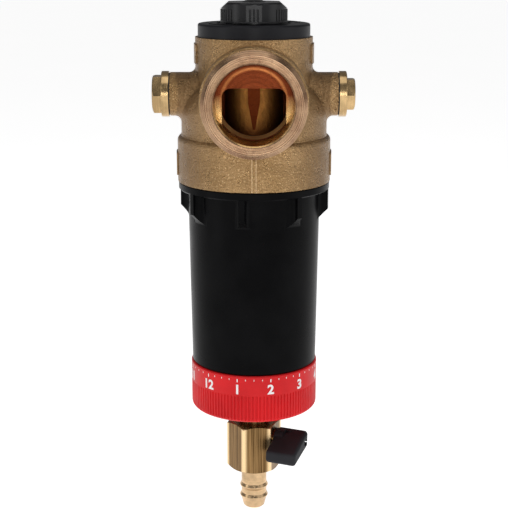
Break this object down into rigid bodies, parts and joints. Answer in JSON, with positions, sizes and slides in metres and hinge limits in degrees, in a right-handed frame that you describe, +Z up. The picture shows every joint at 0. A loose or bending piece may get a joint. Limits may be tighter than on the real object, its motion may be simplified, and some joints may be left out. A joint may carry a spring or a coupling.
{
  "type": "magnetic back-flushing water filter with pressure reducer",
  "caption": "Brass-bodied in-line water filter: threaded pipe ports, setting knob on top, opaque bowl with screen and magnet rod, month ring and drain ball valve with hose tail.",
  "frame": {"origin": "centre of the rear (outlet) port's sealing face, on the axis of the two ports", "axes": "+Y out of the outlet port along the pipe, -Y to the front inlet port, +Z up along the bowl to the knob, +X to the right seen from the front"},
  "size_m": [0.0967, 0.1, 0.2581],
  "materials": {
    "cast_brass": "rough sand-cast skin",
    "turned_brass": "turned, bright",
    "black_plastic": "satin, moulded",
    "knob_plastic": "satin, moulded",
    "red_plastic": "semi-gloss, moulded",
    "black_rubber": "matt",
    "white_plastic": "moulded",
    "stainless_steel": "bright",
    "spring_steel": "drawn wire",
    "chromed_ball": "polished",
    "magnet_alloy": "nickel plated"
  },
  "bodies": {
    "casing": {"body_casting": "cast_brass", "gauge_plug_left": "turned_brass", "gauge_plug_right": "turned_brass", "plug_seal_left": "black_rubber", "plug_seal_right": "black_rubber", "bonnet": "black_plastic", "setting_spring": "spring_steel", "slip_ring": "white_plastic", "diaphragm": "black_rubber", "seat_ring": "stainless_steel", "filter_bowl": "black_plastic", "bowl_o_ring": "black_rubber", "return_spring": "spring_steel", "ring_clip": "stainless_steel", "drain_gasket": "black_rubber", "drain_valve_body": "turned_brass", "ball_seat_upper": "white_plastic", "ball_seat_lower": "white_plastic", "gland_nut": "turned_brass", "hose_barb": "turned_brass"},
    "setting_knob": {"knob": "knob_plastic", "knob_cap": "knob_plastic", "knob_screw": "stainless_steel", "spindle": "turned_brass"},
    "spring_carrier": {"spring_plate": "stainless_steel"},
    "reducer_valve": {"valve_stem": "turned_brass", "diaphragm_disc": "stainless_steel", "stem_nut_upper": "turned_brass", "stem_nut_lower": "turned_brass", "valve_disc": "stainless_steel", "valve_seal": "black_rubber"},
    "filter_element": {"element_head": "white_plastic", "head_o_ring": "black_rubber", "screen_cage": "white_plastic", "filter_screen": "stainless_steel", "element_base": "white_plastic", "magnet_sleeve": "stainless_steel", "magnet_stack": "magnet_alloy", "pole_pieces": "stainless_steel", "magnet_plug": "white_plastic"},
    "rotor": {"backwash_rotor": "white_plastic"},
    "ring": {"month_ring": "red_plastic"},
    "drain_handle": {"drain_lever": "black_plastic", "lever_screw": "stainless_steel", "drain_stem": "turned_brass", "stem_o_ring": "black_rubber", "drain_ball": "chromed_ball"}
  },
  "joints": [
    {"name": "knob_turn", "type": "hinge", "parent": "casing", "child": "setting_knob", "pos_m": [0, -0.05, 0.04], "axis": [0, 0, 1], "range_deg": [-720, 540]},
    {"name": "plate_travel", "type": "slide", "parent": "casing", "child": "spring_carrier", "axis": [0, 0, 1], "range_m": [-0.00251, 0.00189], "deforming": ["setting_spring"]},
    {"name": "valve_lift", "type": "slide", "parent": "casing", "child": "reducer_valve", "axis": [0, 0, 1], "range_m": [0, 0.0025], "stiffness_N_per_m": 4000, "springref_m": -0.003, "deforming": ["diaphragm"]},
    {"name": "element_slide", "type": "slide", "parent": "casing", "child": "filter_element", "axis": [0, 0, -1], "range_m": [0, 0.008], "stiffness_N_per_m": 900, "springref_m": -0.006, "deforming": ["return_spring"]},
    {"name": "rotor_turn", "type": "hinge", "parent": "filter_element", "child": "rotor", "pos_m": [0, -0.05, -0.08], "axis": [0, 0, 1], "continuous": true},
    {"name": "month_ring_turn", "type": "hinge", "parent": "casing", "child": "ring", "pos_m": [0, -0.05, -0.145], "axis": [0, 0, 1], "continuous": true},
    {"name": "drain_turn", "type": "hinge", "parent": "casing", "child": "drain_handle", "pos_m": [0, -0.05, -0.1748], "axis": [0.9205, -0.3907, 0], "range_deg": [0, 90]}
  ],
  "couplings": [
    {"joint": "plate_travel", "follows": "knob_turn", "m_per_rad": 0.00019894}
  ]
}
